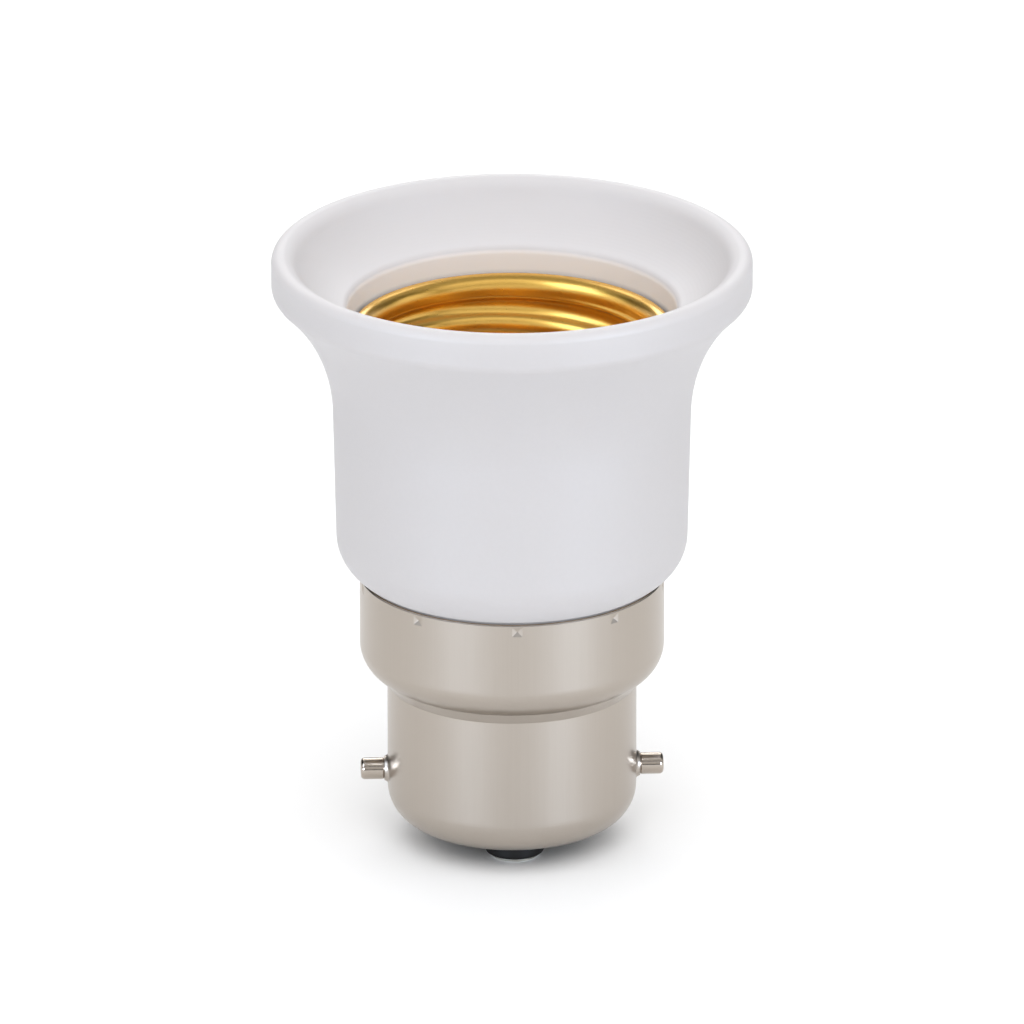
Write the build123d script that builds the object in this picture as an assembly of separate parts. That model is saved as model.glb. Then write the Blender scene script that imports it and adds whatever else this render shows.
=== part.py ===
from build123d import *
import os
from math import acos, cos, degrees, radians, sin, tan

# Lamp socket adapter: a two-pin bayonet cap below and a screw-thread lamp socket above.
# Sizes are millimetres. Z is the adapter's own axis and Z = 0 is the plane of the two base contacts.
# The bayonet pins lie along X and the base contacts along Y.

# Bayonet cap, drawn from one sheet
contact_stand_off = 1.75
cap_height = 23.23
cap_sheet = 0.3
barrel_radius = 11.0
barrel_corner = 3.35
collar_step = 2.42
collar_height = 9.38
shoulder_round = 2.9
shoulder_cone_drop = 0.8
shoulder_cone_angle = 32.0
base_opening_radius = 7.6

# Bayonet pins
pin_height = 4.75
pin_radius = 0.96
pin_reach = 2.4
pin_tip_round = 0.35
pin_root_round = 0.2
pin_shank_radius = 0.6
pin_head_radius = 1.7
pin_head_thickness = 0.6
pin_boss_height = 0.3
pin_boss_root_radius = 1.6
pin_boss_end_radius = 1.15

# Punch marks that lock the collar to the housing
crimp_count = 9
crimp_first_angle = -91.0
crimp_width = 0.95
crimp_length = 0.9
crimp_depth = 0.15
crimp_drop = 0.2
crimp_spread = 1.35
crimp_pocket_spread = 1.6

# Base insulator and its two contacts
boss_radius = 2.6
contact_offset = 4.6
contact_proud = 0.31
pad_radius = 2.1
eyelet_radius = 1.25
eyelet_wall = 0.4
eyelet_roll_radius = 1.8
eyelet_roll_height = 0.35
solder_dish = 0.05
solder_depth = 2.5

# Screw-thread shell, rolled from sheet
thread_pitch = 3.629
thread_turns = 4
thread_start_angle = 113.0
thread_major_radius = 13.35
thread_depth = 1.1
thread_run_out = 0.8
shell_sheet = 0.3
shell_foot_height = 2.4
shell_foot_round = 1.2
throat_length = 0.3
lip_radius = 1.3
lip_sweep = 85.0

# Housing, one moulding
bore_gap = 0.79
body_wall = 1.03
body_taper = 0.26
body_round = 4.0
seat_ledge = 0.5
flare_reach = 5.38
flare_radius = 15.57
under_lip_round = 1.12
rim_band = 1.97
rim_round = 0.84
rim_top_slope = 29.0
rim_top_flat = 0.2
crease_round = 2.0
bowl_top_slope = 58.0
bowl_foot_slope = 27.0
bore_edge_round = 0.9
shell_set_back = 1.6
floor_thickness = 2.45
neck_wall = 1.4
neck_length = 6.0
pedestal_height = 1.0

# Sprung centre contact, folded from strip
strip_thickness = 0.4
strip_width = 5.0
fold_radius = 1.2
ramp_angle = 34.0
ramp_length = 2.2
crown_radius = 1.6
tip_angle = 24.0
tip_length = 0.9
foot_setback = 2.0
foot_overhang = 1.5
strip_corner = 0.8

# Rivets, solder tags and internal leads
rivet_radius = 0.9
rivet_head_radius = 1.4
rivet_head_height = 0.7
tag_thickness = 0.4
tag_width = 3.2
tag_length = 3.2
tag_edge = 0.15
tag_solder_radius = 1.0
tag_solder_height = 0.7
wire_radius = 0.4
sleeve_radius = 0.9
lead_straight = 6.4
sleeve_strip_low = 1.3
sleeve_strip_high = 2.0
bend_share = 0.45

# Clearances
seat_gap = 0.25
neck_gap = 0.07
insulator_gap = 0.03
pin_head_gap = 0.12
rivet_gap = 0.05
flange_margin = 0.6
pedestal_gap = 0.4
wire_gap = 0.03
cut_over = 5.0

# Heights and radii that follow from the driving sizes
cap_bottom = contact_stand_off
cap_top = cap_bottom + cap_height
shoulder_z = cap_top - collar_height
collar_radius = barrel_radius + collar_step
pin_z = cap_bottom + pin_height
insulator_bottom = cap_bottom + cap_sheet + insulator_gap
insulator_top = pin_z - pin_head_radius - pin_head_gap
seat_z = cap_top + seat_gap
neck_radius = collar_radius - cap_sheet - neck_gap
neck_bore_radius = neck_radius - neck_wall
floor_under = seat_z
floor_top = floor_under + floor_thickness
pedestal_top = floor_top + pedestal_height

thread_offset = thread_depth / 2
thread_mean_radius = thread_major_radius - thread_offset
thread_bottom = floor_top + shell_foot_height + thread_run_out
thread_top = thread_bottom + thread_turns * thread_pitch
throat_bottom = thread_top + thread_run_out
throat_top = throat_bottom + throat_length
shell_top = throat_top + lip_radius * sin(radians(lip_sweep))

bore_radius = thread_major_radius + shell_sheet + bore_gap
body_foot_radius = max(bore_radius + body_wall, collar_radius + seat_ledge)
body_top_radius = body_foot_radius + body_taper
rim_radius = body_top_radius + flare_reach

rivet_circle = neck_bore_radius - tag_width / 2 - tag_edge
flange_hole_radius = rivet_circle - rivet_head_radius - flange_margin
pedestal_radius = flange_hole_radius - pedestal_gap
ramp_rise = radians(ramp_angle)
fold_offset = (fold_radius + crown_radius) * sin(ramp_rise) + ramp_length * cos(ramp_rise)
contact_rivet_x = -(fold_offset + foot_setback)
tag_top = floor_under
tag_bottom = tag_top - tag_thickness
eyelet_bore = eyelet_radius - eyelet_wall


def turned(outline):
    """Solid turned about Z from a closed outline drawn as radius and height."""
    return revolve(Plane.XZ * make_face(outline), Axis.Z)


def chain(*points):
    """Straight edges through the points, in order."""
    return Polyline(*points).edges()


def upright(radius, low, high):
    """Round bar on the Z axis between two heights."""
    return Pos(0, 0, low) * extrude(Circle(radius), high - low)


def end_direction(curve):
    """Direction of a drawn curve at its far end, in the drawing plane."""
    way = curve % 1
    return (way.X, way.Y)


def rounded_cup(radius, bottom, corner, top):
    """Upright bar whose lower edge is rounded, one step of the drawn cap."""
    foot = Line((0, bottom), (radius - corner, bottom))
    bend = JernArc(foot @ 1, (1, 0), corner, 90)
    sides = chain(bend @ 1, (radius, top), (0, top), (0, bottom))
    return turned([foot.edge(), bend.edge(), *sides])


def shoulder_cone(inset):
    """Cone that leads from the barrel out into the collar's round lower edge."""
    angle = radians(shoulder_cone_angle)
    radius = barrel_radius - inset
    low = shoulder_z - shoulder_cone_drop + inset * tan(angle / 2)
    high = shoulder_z + shoulder_round / 4
    wide = radius + (high - low) * tan(angle)
    return turned(chain((0, low), (radius, low), (wide, high), (0, high), (0, low)))


def cap_form(inset, top):
    """The stepped cap as a filled form, drawn in from its outer skin by the inset."""
    barrel = rounded_cup(barrel_radius - inset, cap_bottom + inset, barrel_corner - inset, top)
    collar = rounded_cup(collar_radius - inset, shoulder_z + inset, shoulder_round - inset, top)
    return barrel + shoulder_cone(inset) + collar


def crimp_points(base_radius, spread):
    """Four-sided punch points round the collar, each with its base at the given radius."""
    half = crimp_width * spread / 2
    middle = cap_top - crimp_drop - crimp_length / 2
    high = middle + crimp_length * spread / 2
    low = middle - crimp_length * spread / 2
    base = make_face(chain((base_radius, -half, high), (base_radius, half, high), (base_radius, half, low),
                           (base_radius, -half, low), (base_radius, -half, high)))
    point = loft([base, Vertex(base_radius - crimp_depth * spread, 0, middle)])
    turns = [crimp_first_angle + i * 360 / crimp_count for i in range(crimp_count)]
    return [Rot(0, 0, turn) * point for turn in turns]


def pin_boss(side):
    """Cone drawn out of the barrel wall round one bayonet pin."""
    root = barrel_radius - cap_sheet / 2
    height = barrel_radius + pin_boss_height - root
    upward = (Align.CENTER, Align.CENTER, Align.MIN)
    cone = Cone(pin_boss_root_radius, pin_boss_end_radius, height, align=upward)
    return Pos(side * root, 0, pin_z) * Rot(0, side * 90, 0) * cone


def cap_shell():
    """Drawn cap: barrel, shoulder and collar in one sheet, with pin bosses and punch marks."""
    shell = cap_form(0, cap_top) - cap_form(cap_sheet, cap_top + cut_over)
    shell -= upright(base_opening_radius, cap_bottom - cut_over, insulator_bottom)
    hole_length = 2 * (barrel_radius + pin_reach)
    pin_hole = Pos(0, 0, pin_z) * Rot(0, 90, 0) * Cylinder(pin_shank_radius + wire_gap, hole_length)
    shell = shell + pin_boss(-1) + pin_boss(1) - pin_hole
    for bump in crimp_points(collar_radius - cap_sheet, crimp_spread):
        shell += bump
    for dent in crimp_points(collar_radius, 1):
        shell -= dent
    return shell


def bayonet_pin(side):
    """Stepped pin: free end outside the boss, thin shank through the wall, head riveted over inside."""
    tip = barrel_radius + pin_reach
    seat = barrel_radius + pin_boss_height
    wall = (barrel_radius - cap_sheet) ** 2 - pin_head_radius ** 2
    head_face = wall ** 0.5 - wire_gap
    head_back = head_face - pin_head_thickness
    root = (pin_radius - pin_root_round, seat)
    lower = chain((0, head_back), (pin_head_radius, head_back), (pin_head_radius, head_face),
                  (pin_shank_radius, head_face), (pin_shank_radius, seat), root)
    root_end = JernArc(root, (1, 0), pin_root_round, 90)
    side_line = Line(root_end @ 1, (pin_radius, tip - pin_tip_round))
    tip_end = JernArc(side_line @ 1, (0, 1), pin_tip_round, 90)
    closing = chain(tip_end @ 1, (0, tip), (0, head_back))
    pin = turned([*lower, root_end.edge(), side_line.edge(), tip_end.edge(), *closing])
    return Pos(0, 0, pin_z) * Rot(0, side * 90, 0) * pin


def base_insulator():
    """Moulded disc in the foot of the barrel, with a round boss under each contact."""
    radius = barrel_radius - cap_sheet - insulator_gap
    corner = barrel_corner - cap_sheet - insulator_gap
    disc = rounded_cup(radius, insulator_bottom, corner, insulator_top)
    for side in (-1, 1):
        place = Pos(0, side * contact_offset, 0)
        disc += place * upright(boss_radius, contact_proud, insulator_top)
        disc -= place * upright(eyelet_radius + wire_gap, -cut_over, insulator_top + cut_over)
    return disc


def contact_eyelet(side):
    """Tubular contact: flat pad on the boss, tube through the insulator, top rolled over."""
    roll_top = insulator_top + eyelet_roll_height
    eyelet = upright(pad_radius, 0, contact_proud) + upright(eyelet_radius, contact_proud, roll_top)
    eyelet += upright(eyelet_roll_radius, insulator_top, roll_top)
    eyelet -= upright(eyelet_bore, -cut_over, roll_top + cut_over)
    return Pos(0, side * contact_offset, 0) * eyelet


def contact_solder(side):
    """Solder that closes the eyelet's bore under the lead's end."""
    return Pos(0, side * contact_offset, 0) * upright(eyelet_bore, solder_dish, solder_depth)


def housing_outline():
    """Half section of the housing, from the rim's outer face round both ways to the axis."""
    seat_edge = max(0.0, 1 - (body_foot_radius - collar_radius) / body_round)
    round_sweep = acos(seat_edge)
    flare_sweep = acos((under_lip_round + flare_radius - flare_reach) / (under_lip_round + flare_radius))
    bowl_rise = sin(radians(bowl_top_slope)) - sin(radians(bowl_foot_slope))
    edge_reach = bore_edge_round * (1 - sin(radians(bowl_foot_slope)))

    # The bore's edge stands above the shell's lip, and the rim's height follows from the bowl
    bore_top = shell_top + shell_set_back
    edge = JernArc((bore_radius, bore_top), (0, 1), bore_edge_round, bowl_foot_slope - 90)
    crease_reach = crease_round * (sin(radians(bowl_top_slope)) - sin(radians(rim_top_slope)))
    flat_reach = rim_top_flat * cos(radians(rim_top_slope))
    top_reach = rim_round * (1 + sin(radians(rim_top_slope)))
    bowl_reach = rim_radius - top_reach - flat_reach - crease_reach - bore_radius - edge_reach
    bowl = JernArc(edge @ 1, end_direction(edge), bowl_reach / bowl_rise, bowl_top_slope - bowl_foot_slope)
    crease = JernArc(bowl @ 1, end_direction(bowl), crease_round, rim_top_slope - bowl_top_slope)
    flat_way = end_direction(crease)
    flat = Line(crease @ 1, crease @ 1 + Vector(*flat_way) * rim_top_flat)
    top = JernArc(flat @ 1, flat_way, rim_round, -90 - rim_top_slope)
    band = Line(top @ 1, top @ 1 - Vector(0, rim_band))
    under = JernArc(band @ 1, (0, -1), under_lip_round, -degrees(flare_sweep))
    flare = JernArc(under @ 1, end_direction(under), flare_radius, degrees(flare_sweep))
    side = Line(flare @ 1, (body_foot_radius, seat_z + body_round * sin(round_sweep)))
    foot = JernArc(side @ 1, (0, -1), body_round, -degrees(round_sweep))
    below = chain(foot @ 1, (neck_radius, seat_z), (neck_radius, seat_z - neck_length),
                  (neck_bore_radius, seat_z - neck_length), (neck_bore_radius, floor_under),
                  (0, floor_under), (0, pedestal_top), (pedestal_radius, pedestal_top),
                  (pedestal_radius, floor_top), (bore_radius, floor_top), (bore_radius, bore_top))
    curves = [edge, bowl, crease, flat, top, band, under, flare, side, foot]
    return [curve.edge() for curve in curves] + list(below)


def housing():
    """Moulded body: bell mouth, socket bore with its floor and pedestal, neck inside the collar."""
    body = turned(housing_outline())
    hole = upright(rivet_radius + rivet_gap, floor_under - cut_over, pedestal_top + cut_over)
    for x in (contact_rivet_x, -rivet_circle, rivet_circle):
        body -= Pos(x, 0, 0) * hole
    for pocket in crimp_points(collar_radius - cap_sheet, crimp_pocket_spread):
        body -= pocket
    return body


def thread_form(radius):
    """Filled form of the thread: a round bar whose centre climbs a helix, eased to the axis at its ends."""
    start = Vector(thread_offset, 0, 0).rotate(Axis.Z, thread_start_angle)
    run_out = Vector(0, 0, thread_run_out)
    path = Pos(0, 0, thread_bottom) * Rot(0, 0, thread_start_angle) * Helix(
        thread_pitch, thread_turns * thread_pitch, thread_offset)
    section = Pos(start.X, start.Y, thread_bottom) * Circle(radius)
    form = sweep(section, path, normal=(0, 0, 1))
    way = start + run_out
    form += extrude(Pos(0, 0, thread_bottom - thread_run_out) * Circle(radius), way.length, dir=way)
    way = run_out - start
    form += extrude(Pos(start.X, start.Y, thread_top) * Circle(radius), way.length, dir=way)
    return form


def threaded_shell():
    """Rolled screw shell: in-turned foot flange, knuckle thread and flared lip in one sheet."""
    inner = thread_mean_radius
    outer = inner + shell_sheet
    shell = thread_form(outer) - thread_form(inner)

    foot_top = thread_bottom - thread_run_out
    foot_out = rounded_cup(outer, floor_top, shell_foot_round, foot_top)
    foot_in = rounded_cup(inner, floor_top + shell_sheet, shell_foot_round - shell_sheet, foot_top + cut_over)
    shell += foot_out - foot_in - upright(flange_hole_radius, floor_top - cut_over, foot_top)

    lip_in = JernArc((inner, throat_top), (0, 1), lip_radius, -lip_sweep)
    lip_out = JernArc((outer, throat_top), (0, 1), lip_radius - shell_sheet, -lip_sweep)
    lip_ends = chain((outer, throat_top), (outer, throat_bottom), (inner, throat_bottom), (inner, throat_top))
    shell += turned([lip_in.edge(), Line(lip_in @ 1, lip_out @ 1).edge(), lip_out.edge(), *lip_ends])

    hole = upright(rivet_radius + rivet_gap, floor_top - cut_over, floor_top + shell_sheet + cut_over)
    for side in (-1, 1):
        shell -= Pos(side * rivet_circle, 0, 0) * hole
    return shell


def rivet(grip_low, grip_high):
    """Plain rivet with a domed head above the grip and its tail spread below it."""
    dome = JernArc((rivet_head_radius, grip_high), (0, 1), rivet_head_height, 90)
    dome_flat = chain(dome @ 1, (0, grip_high + rivet_head_height), (0, grip_low - rivet_head_height))
    tail = JernArc((rivet_head_radius - rivet_head_height, grip_low - rivet_head_height), (1, 0),
                   rivet_head_height, 90)
    tail_flat = chain((0, grip_low - rivet_head_height), tail @ 0)
    shank = chain(tail @ 1, (rivet_radius, grip_low), (rivet_radius, grip_high), dome @ 0)
    return turned([dome.edge(), *dome_flat, *tail_flat, tail.edge(), *shank])


def leaf_path():
    """Middle line of the contact strip in the XZ plane: foot, fold, ramp, crown and down-turned tip."""
    middle = pedestal_top + strip_thickness / 2
    foot = Line((contact_rivet_x - foot_overhang, middle), (-fold_offset, middle))
    fold = JernArc(foot @ 1, (1, 0), fold_radius, ramp_angle)
    ramp_way = end_direction(fold)
    ramp = Line(fold @ 1, fold @ 1 + Vector(*ramp_way) * ramp_length)
    crown = JernArc(ramp @ 1, ramp_way, crown_radius, -(ramp_angle + tip_angle))
    tip = Line(crown @ 1, crown @ 1 + Vector(*end_direction(crown)) * tip_length)
    return Wire([Plane.XZ * curve.edge() for curve in (foot, fold, ramp, crown, tip)])


def centre_contact():
    """Spring strip riveted to the pedestal, with its crown standing over the axis."""
    path = leaf_path()
    section = Plane(path @ 0, x_dir=(0, 1, 0), z_dir=path % 0) * Rectangle(strip_width, strip_thickness)
    leaf = sweep(section, path)
    corners = leaf.edges().filter_by(Axis.Z).sort_by(Axis.X)[:2]
    leaf = fillet(corners, strip_corner)
    hole = upright(rivet_radius + rivet_gap, pedestal_top - cut_over, pedestal_top + cut_over)
    return leaf - Pos(contact_rivet_x, 0, 0) * hole


def solder_tag(rivet_x, way):
    """Flat tag under the socket floor, held by a rivet, with a hole for a lead's end."""
    middle = rivet_x + way * tag_length / 2
    tag = Pos(middle, 0, tag_bottom) * extrude(SlotCenterToCenter(tag_length, tag_width), tag_thickness)
    rivet_hole = upright(rivet_radius + rivet_gap, tag_bottom - cut_over, tag_top + cut_over)
    wire_hole = upright(wire_radius + wire_gap, tag_bottom - cut_over, tag_top + cut_over)
    return tag - Pos(rivet_x, 0, 0) * rivet_hole - Pos(rivet_x + way * tag_length, 0, 0) * wire_hole


def tag_solder(rivet_x, way):
    """Cone of solder under a tag, round the lead's end."""
    low = tag_bottom - tag_solder_height
    bore = wire_radius + wire_gap
    cone = turned(chain((bore, low), (sleeve_radius * 2 / 3, low), (tag_solder_radius, tag_bottom),
                        (bore, tag_bottom), (bore, low)))
    return Pos(rivet_x + way * tag_length, 0, 0) * cone


def lead_path(side, end_x, low, high):
    """Route of one lead between two heights: up from its eyelet, across, and up to its tag."""
    foot_turn = Vector(0, side * contact_offset, solder_depth + lead_straight)
    head_turn = Vector(end_x, 0, tag_top - lead_straight)
    half_turn = (head_turn - foot_turn).get_angle(Vector(0, 0, 1)) / 2
    radius = bend_share * lead_straight / tan(radians(half_turn))
    start = Vector(0, side * contact_offset, low)
    return FilletPolyline(start, foot_turn, head_turn, Vector(end_x, 0, high), radius=radius)


def round_bar(path, radius):
    """Round bar along a route that starts straight up."""
    return sweep(Plane(path @ 0, z_dir=path % 0) * Circle(radius), path)


def lead_wire(side, end_x):
    """Solid copper wire from an eyelet's solder to its tag."""
    return round_bar(lead_path(side, end_x, solder_depth, tag_top - wire_gap), wire_radius)


def lead_sleeve(side, end_x):
    """Insulating sleeve over the middle of a lead."""
    low = insulator_top + sleeve_strip_low
    high = tag_bottom - sleeve_strip_high
    path = lead_path(side, end_x, low, high)
    return round_bar(path, sleeve_radius) - round_bar(path, wire_radius + wire_gap)


centre_wire_x = contact_rivet_x + tag_length
shell_wire_x = rivet_circle - tag_length
flange_top = floor_top + shell_sheet
foot_top = pedestal_top + strip_thickness

nodes = {
    "cap_shell": cap_shell(),
    "bayonet_pin_left": bayonet_pin(-1),
    "bayonet_pin_right": bayonet_pin(1),
    "base_insulator": base_insulator(),
    "contact_eyelet_front": contact_eyelet(-1),
    "contact_eyelet_back": contact_eyelet(1),
    "contact_solder_front": contact_solder(-1),
    "contact_solder_back": contact_solder(1),
    "housing": housing(),
    "threaded_shell": threaded_shell(),
    "shell_rivet_left": Pos(-rivet_circle, 0, 0) * rivet(floor_under, flange_top),
    "shell_rivet_right": Pos(rivet_circle, 0, 0) * rivet(tag_bottom, flange_top),
    "centre_contact": centre_contact(),
    "contact_rivet": Pos(contact_rivet_x, 0, 0) * rivet(tag_bottom, foot_top),
    "centre_tag": solder_tag(contact_rivet_x, 1),
    "shell_tag": solder_tag(rivet_circle, -1),
    "centre_tag_solder": tag_solder(contact_rivet_x, 1),
    "shell_tag_solder": tag_solder(rivet_circle, -1),
    "centre_lead_wire": lead_wire(-1, centre_wire_x),
    "centre_lead_sleeve": lead_sleeve(-1, centre_wire_x),
    "shell_lead_wire": lead_wire(1, shell_wire_x),
    "shell_lead_sleeve": lead_sleeve(1, shell_wire_x),
}

os.makedirs("parts", exist_ok=True)
for name, shape in nodes.items():
    export_step(shape, f"parts/{name}.step")
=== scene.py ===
"""Looks of the lamp socket adapter: fine surfaces and finishes, with a stage, soft light and a camera."""

import logging
import math
from dataclasses import dataclass, field
from enum import Enum

import bmesh
import bpy
import numpy as np
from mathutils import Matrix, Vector


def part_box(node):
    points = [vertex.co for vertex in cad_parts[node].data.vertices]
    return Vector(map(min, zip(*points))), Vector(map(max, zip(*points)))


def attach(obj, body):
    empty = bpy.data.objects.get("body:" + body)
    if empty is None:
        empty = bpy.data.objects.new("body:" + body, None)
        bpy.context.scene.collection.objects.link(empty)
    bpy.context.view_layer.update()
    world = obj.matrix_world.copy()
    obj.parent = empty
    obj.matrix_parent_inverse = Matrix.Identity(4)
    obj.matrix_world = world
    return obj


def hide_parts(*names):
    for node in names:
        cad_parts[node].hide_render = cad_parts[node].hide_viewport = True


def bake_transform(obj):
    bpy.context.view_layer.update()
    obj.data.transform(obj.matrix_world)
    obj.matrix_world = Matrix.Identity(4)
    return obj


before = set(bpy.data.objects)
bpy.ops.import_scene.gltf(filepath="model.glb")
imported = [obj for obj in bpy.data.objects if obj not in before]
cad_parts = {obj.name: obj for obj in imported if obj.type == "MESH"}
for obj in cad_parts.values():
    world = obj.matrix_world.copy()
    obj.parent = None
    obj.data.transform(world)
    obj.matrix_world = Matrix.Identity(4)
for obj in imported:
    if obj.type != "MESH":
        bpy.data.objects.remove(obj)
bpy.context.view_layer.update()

log = logging.getLogger("lamp_socket_adapter")

Tree = bpy.types.NodeTree
Socket = bpy.types.NodeSocket

# Places of the axes in a corner of a box
X, Y, Z = range(3)
# Sizes are millimetres, as in the frame's drawings, and this turns them to metres
MM = 0.001
# Degrees of turn and millimetres between two points of an arc, and its least count of steps
ARC_STEP = 5.0
ARC_LENGTH = 0.4
ARC_LEAST = 3
# Steps in the arc of a small rounded corner
CORNER_STEPS = 6
# How near its ends a long straight run has points that keep its shading flat
SUPPORT = 0.06
LONG_RUN = 4 * SUPPORT
# Points nearer than this many metres are one point
WELD = 1e-8
# Edges that turn by more than this are sharp
SHARP = math.radians(35)
# How far red, green and blue light goes in a white moulding, as shares of its scatter depth
SCATTER_REACH = (1.0, 0.92, 0.86)
# Places of the two colours and the result on a node that mixes colours
MIX_FROM = 6
MIX_TO = 7
MIX_RESULT = 2


class Body(Enum):
    """The frame's two moving bodies."""

    ADAPTER = "adapter"
    LEAF = "contact_leaf"


class Side(Enum):
    """Which way along its axis a paired piece lies."""

    LOW = -1
    HIGH = 1


def low(node: str) -> np.ndarray:
    """Lowest corner of a CAD node, in millimetres."""
    return np.array(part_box(node)[0]) / MM


def high(node: str) -> np.ndarray:
    """Highest corner of a CAD node, in millimetres."""
    return np.array(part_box(node)[1]) / MM


def from_low(node: str, axis: int) -> float:
    """Size field that is read at a CAD node's lowest corner."""
    return field(default_factory=lambda: low(node)[axis])


def from_high(node: str, axis: int) -> float:
    """Size field that is read at a CAD node's highest corner."""
    return field(default_factory=lambda: high(node)[axis])


def linear(colour: str) -> tuple[float, float, float, float]:
    """Turns an sRGB hex colour to the linear numbers that shaders take.

    Args:
        colour: six hex digits after a hash sign.

    Returns:
        Red, green, blue and an alpha of one.
    """
    part = np.array([int(colour[i:i + 2], 16) for i in (1, 3, 5)]) / 255
    bright = np.where(part <= 0.04045, part / 12.92, ((part + 0.055) / 1.055) ** 2.4)
    return (*bright.tolist(), 1.0)


def per_mm(size: float) -> float:
    """Texture scale that gives a pattern features of that size in millimetres."""
    return 1 / (size * MM)


def add(tree: Tree, kind: str, inputs: dict | None = None, **settings: object) -> bpy.types.Node:
    """Adds one shader node.

    Args:
        tree: the node tree that gets the node.
        kind: the node's type.
        inputs: numbers, colours or other nodes' sockets, by the input's name or place.
        settings: the node's own properties.

    Returns:
        The node.
    """
    node = tree.nodes.new(kind)
    for name, value in settings.items():
        setattr(node, name, value)
    for name, value in (inputs or {}).items():
        if isinstance(value, Socket):
            tree.links.new(value, node.inputs[name])
        else:
            node.inputs[name].default_value = value
    return node


class Pen:
    """Draws an outline of radius and height, turning as it goes, counter-clockwise round the material."""

    def __init__(self, radius: float, height: float, heading: float) -> None:
        """Starts at a point.

        Args:
            radius: the point's distance from the axis.
            height: the point's height.
            heading: degrees from straight outwards.
        """
        self.at = np.array((radius, height), float)
        self.heading = math.radians(heading)
        self.stretches = [self.at[None]]

    def to(self, radius: float, height: float, steps: int = 1) -> "Pen":
        """Goes straight to a point and heads on that way.

        Args:
            radius: the point's distance from the axis.
            height: the point's height.
            steps: how many equal steps the stretch has.

        Returns:
            The pen itself.
        """
        end = np.array((radius, height), float)
        way = end - self.at
        self.stretches.append(self.at + way * np.linspace(0, 1, steps + 1)[1:, None])
        self.at = end
        self.heading = math.atan2(way[1], way[0])
        return self

    def ahead(self) -> np.ndarray:
        """One millimetre the way that the pen heads."""
        return np.array((math.cos(self.heading), math.sin(self.heading)))

    def run(self, length: float) -> "Pen":
        """Goes straight ahead."""
        return self.to(*(self.at + self.ahead() * length))

    def bend(self, radius: float, turn: float) -> "Pen":
        """Goes along an arc that starts the way the pen heads.

        At heading h the arc is at start + R (sin h - sin h0, cos h0 - cos h), R positive for a left turn.

        Args:
            radius: the arc's radius.
            turn: degrees, positive to the left.

        Returns:
            The pen itself.
        """
        start = self.heading
        length = radius * math.radians(abs(turn))
        steps = max(ARC_LEAST, math.ceil(abs(turn) / ARC_STEP), math.ceil(length / ARC_LENGTH))
        heading = start + np.radians(turn) * np.linspace(0, 1, steps + 1)[1:]
        across = np.sin(heading) - math.sin(start)
        along = math.cos(start) - np.cos(heading)
        points = self.at + math.copysign(radius, turn) * np.stack((across, along), 1)
        self.stretches.append(points)
        self.at = points[-1]
        self.heading = heading[-1]
        return self

    def drawn(self) -> np.ndarray:
        """Returns the outline's points, one row each."""
        return np.concatenate(self.stretches)


def unit(way: np.ndarray) -> np.ndarray:
    """The same direction with a length of one."""
    return way / np.linalg.norm(way)


def rounded(*corners: tuple[float, float, float]) -> np.ndarray:
    """Open outline through corners, each replaced by an arc that touches both its sides.

    With half the corner's angle g, the arc starts R / tan g from the corner and its centre is R / sin g away.

    Args:
        corners: radius, height and the arc's radius, which is zero for a sharp corner.

    Returns:
        The outline's points, one row each.
    """
    spots = np.array(corners, float)
    stretches = [spots[:1, :2]]
    for before, spot, after in zip(spots[:-2], spots[1:-1], spots[2:]):
        back, ahead = unit((before - spot)[:2]), unit((after - spot)[:2])
        half = 0.5 * math.acos(float(np.clip(back @ ahead, -1, 1)))
        centre = spot[:2] + unit(back + ahead) * spot[2] / math.sin(half)
        arm = spot[:2] + back * spot[2] / math.tan(half) - centre
        turn = math.copysign(math.pi - 2 * half, ahead[1] * -back[0] + ahead[0] * back[1])
        angle = np.linspace(0, turn, CORNER_STEPS + 1) if spot[2] else np.zeros(1)
        spun = np.stack((np.cos(angle) * arm[0] - np.sin(angle) * arm[1],
                         np.sin(angle) * arm[0] + np.cos(angle) * arm[1]), 1)
        stretches.append(centre + spun)
    stretches.append(spots[-1:, :2])
    return np.concatenate(stretches)


def supported(outline: np.ndarray) -> np.ndarray:
    """Adds a point near each end of every long straight run, so that shading stays flat along it.

    Args:
        outline: the outline's points, one row each.

    Returns:
        The same outline with the added points.
    """
    step = np.diff(outline, axis=0)
    length = np.linalg.norm(step, axis=1, keepdims=True)
    share = SUPPORT / np.maximum(length, SUPPORT)
    trio = np.stack((outline[:-1], outline[:-1] + step * share, outline[1:] - step * share), 1)
    long = length[:, 0] > LONG_RUN
    keep = np.stack((np.ones(len(step), bool), long, long), 1)
    return np.concatenate((trio.reshape(-1, 2)[keep.ravel()], outline[-1:]))


def turns(count: int) -> np.ndarray:
    """Equal angles round an axis, in radians, with no double at the seam."""
    return np.arange(count) * 2 * math.pi / count


@dataclass
class Skin:
    """A surface as a grid of points in millimetres, rows along its outline and columns closed round it."""

    points: np.ndarray
    ring: bool = False

    def faces(self) -> np.ndarray:
        """Joins each point with the next row and the next column.

        Returns:
            The four corners of every face, one row each.
        """
        rows, columns = self.points.shape[:2]
        index = np.arange(rows * columns).reshape(rows, columns)
        beside = np.roll(index, -1, axis=1)
        above = np.roll(index, -1, axis=0)
        across = np.roll(beside, -1, axis=0)
        quads = np.stack((index, beside, across, above), -1)
        return (quads if self.ring else quads[:-1]).reshape(-1, 4)

    def moved(self, x: float, y: float) -> "Skin":
        """The same surface in another place."""
        return Skin(self.points + np.array((x, y, 0)), self.ring)


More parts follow.
